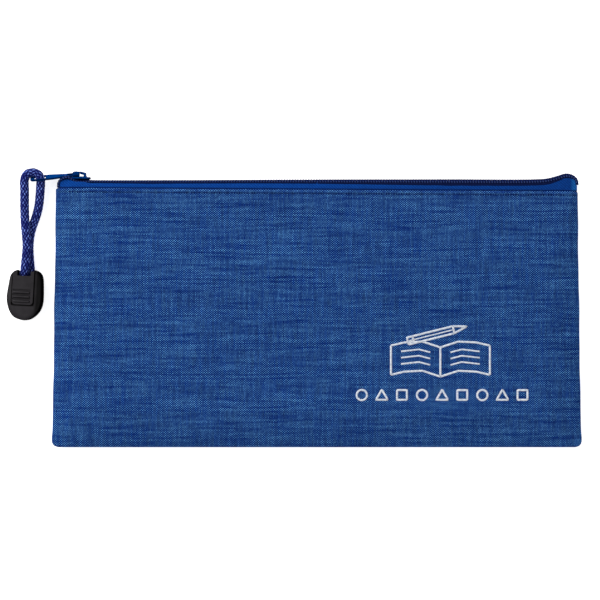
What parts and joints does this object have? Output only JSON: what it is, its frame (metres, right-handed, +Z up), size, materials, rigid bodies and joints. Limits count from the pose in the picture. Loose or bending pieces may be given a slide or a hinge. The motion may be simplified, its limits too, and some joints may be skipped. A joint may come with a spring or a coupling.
{
  "type": "pencil case",
  "caption": "Flat woven-fabric pencil case with a zipped top edge, a metal slider and tab, and a braided cord pull ending in a moulded cord end.",
  "frame": {"origin": "centre of the back panel's resting face; the case lies on its back", "axes": "+X along the zip away from the closed end, +Y across the case towards the zip, +Z up out of the front panel"},
  "size_m": [0.2561, 0.1248, 0.0099],
  "materials": {
    "woven_fabric": "matt heathered weave",
    "zip_tape": "matt twill",
    "zip_coil": "satin nylon",
    "sewing_thread": "matt thread",
    "painted_metal": "satin paint",
    "braided_cord": "braid",
    "black_plastic": "matt"
  },
  "bodies": {
    "case_back": {"back_panel": "woven_fabric", "back_zip_tape": "zip_tape", "back_zip_coil": "zip_coil", "back_topstitch": "sewing_thread", "seam_thread": "sewing_thread"},
    "case_front": {"front_panel": "woven_fabric", "front_zip_tape": "zip_tape", "front_zip_coil": "zip_coil", "front_topstitch": "sewing_thread"},
    "slider": {"slider_body": "painted_metal"},
    "tab": {"pull_tab": "painted_metal"},
    "cord": {"pull_cord": "braided_cord", "cord_knot": "braided_cord", "cord_end_housing": "black_plastic"},
    "lid": {"cord_end_lid": "black_plastic"}
  },
  "joints": [
    {"name": "zip_slide", "type": "slide", "parent": "case_back", "child": "slider", "axis": [1, 0, 0], "range_m": [0, 0.2]},
    {"name": "mouth_open", "type": "hinge", "parent": "case_back", "child": "case_front", "pos_m": [0, -0.0579, 0.00345], "axis": [1, 0, 0], "range_deg": [0, 15]},
    {"name": "pull_swing", "type": "hinge", "parent": "slider", "child": "tab", "pos_m": [-0.10755, 0.0642, 0.0036], "axis": [0, 0, -1], "range_deg": [0, 120]},
    {"name": "cord_lift", "type": "hinge", "parent": "tab", "child": "cord", "pos_m": [-0.127, 0.0622, 0.00565], "axis": [-1, 0, 0], "range_deg": [0, 165], "deforming": ["pull_cord"]},
    {"name": "lid_open", "type": "hinge", "parent": "cord", "child": "lid", "pos_m": [-0.1303, 0.0203, 0.0092], "axis": [-0.9986, 0.0523, 0], "range_deg": [0, 100]}
  ],
  "couplings": [
    {"joint": "mouth_open", "follows": "zip_slide", "rad_per_m": 1.309},
    {"joint": "pull_swing", "follows": "zip_slide", "rad_per_m": 10.47},
    {"joint": "cord_lift", "follows": "zip_slide", "rad_per_m": 14.39}
  ]
}
